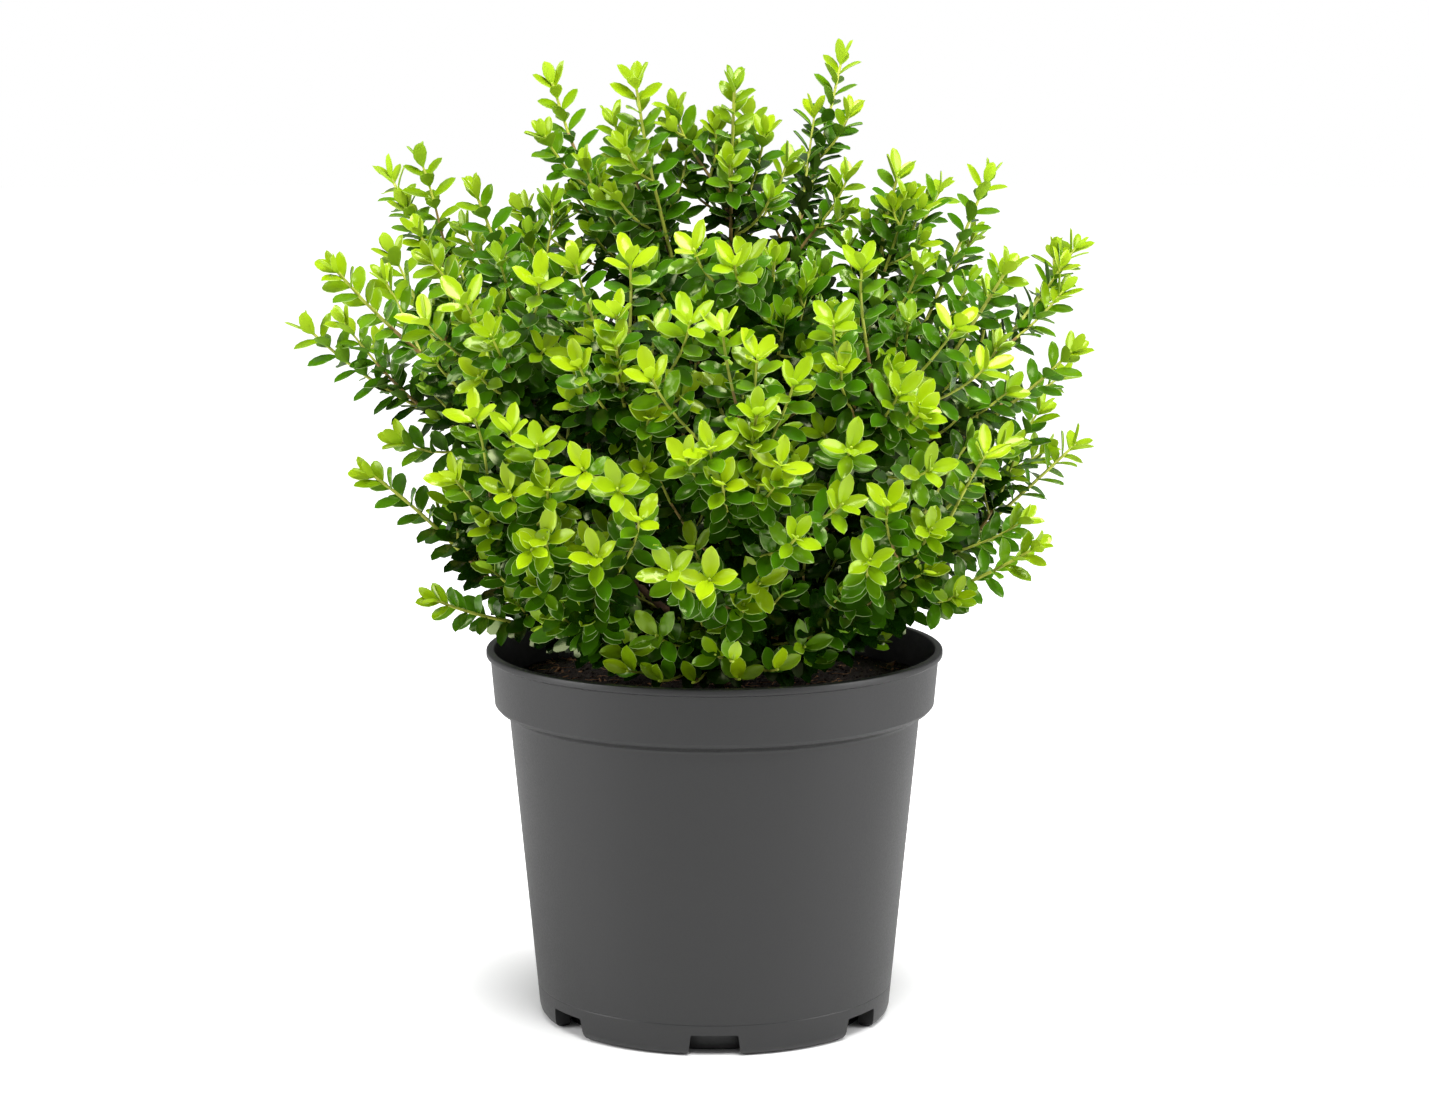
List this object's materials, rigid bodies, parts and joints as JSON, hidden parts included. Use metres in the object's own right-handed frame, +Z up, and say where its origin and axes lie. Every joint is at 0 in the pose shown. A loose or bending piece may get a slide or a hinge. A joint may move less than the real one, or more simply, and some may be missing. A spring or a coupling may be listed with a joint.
{
  "type": "potted boxwood",
  "caption": "Small evergreen shrub with upright fanning leafy shoots, in a round tapered nursery pot with a rim band and drainage notches.",
  "frame": {"origin": "centre of the pot's flat underside, where it stands on the ground", "axes": "+Z up along the pot's axis, -Y towards the shrub's front"},
  "size_m": [0.5075, 0.4671, 0.6045],
  "materials": {
    "pot_plastic": "dark grey, satin",
    "peat_soil": "dark brown, crumbly and dull",
    "bark": "brown, dull",
    "foliage": "green, glossy on top"
  },
  "bodies": {
    "root": {"bough_high_1": "bark", "bough_high_2": "bark", "bough_high_3": "bark", "bough_high_4": "bark", "bough_high_5": "bark", "bough_high_6": "bark", "bough_low_1": "bark", "bough_low_2": "bark", "bough_low_3": "bark", "bough_low_4": "bark", "bough_low_5": "bark", "bough_low_6": "bark", "bough_low_7": "bark", "bough_low_8": "bark", "bough_top": "bark", "foliage_high_1": "foliage", "foliage_high_2": "foliage", "foliage_high_3": "foliage", "foliage_high_4": "foliage", "foliage_high_5": "foliage", "foliage_high_6": "foliage", "foliage_low_1": "foliage", "foliage_low_2": "foliage", "foliage_low_3": "foliage", "foliage_low_4": "foliage", "foliage_low_5": "foliage", "foliage_low_6": "foliage", "foliage_low_7": "foliage", "foliage_low_8": "foliage", "foliage_top": "foliage", "pot": "pot_plastic", "soil": "peat_soil", "stem": "bark"}
  },
  "joints": []
}
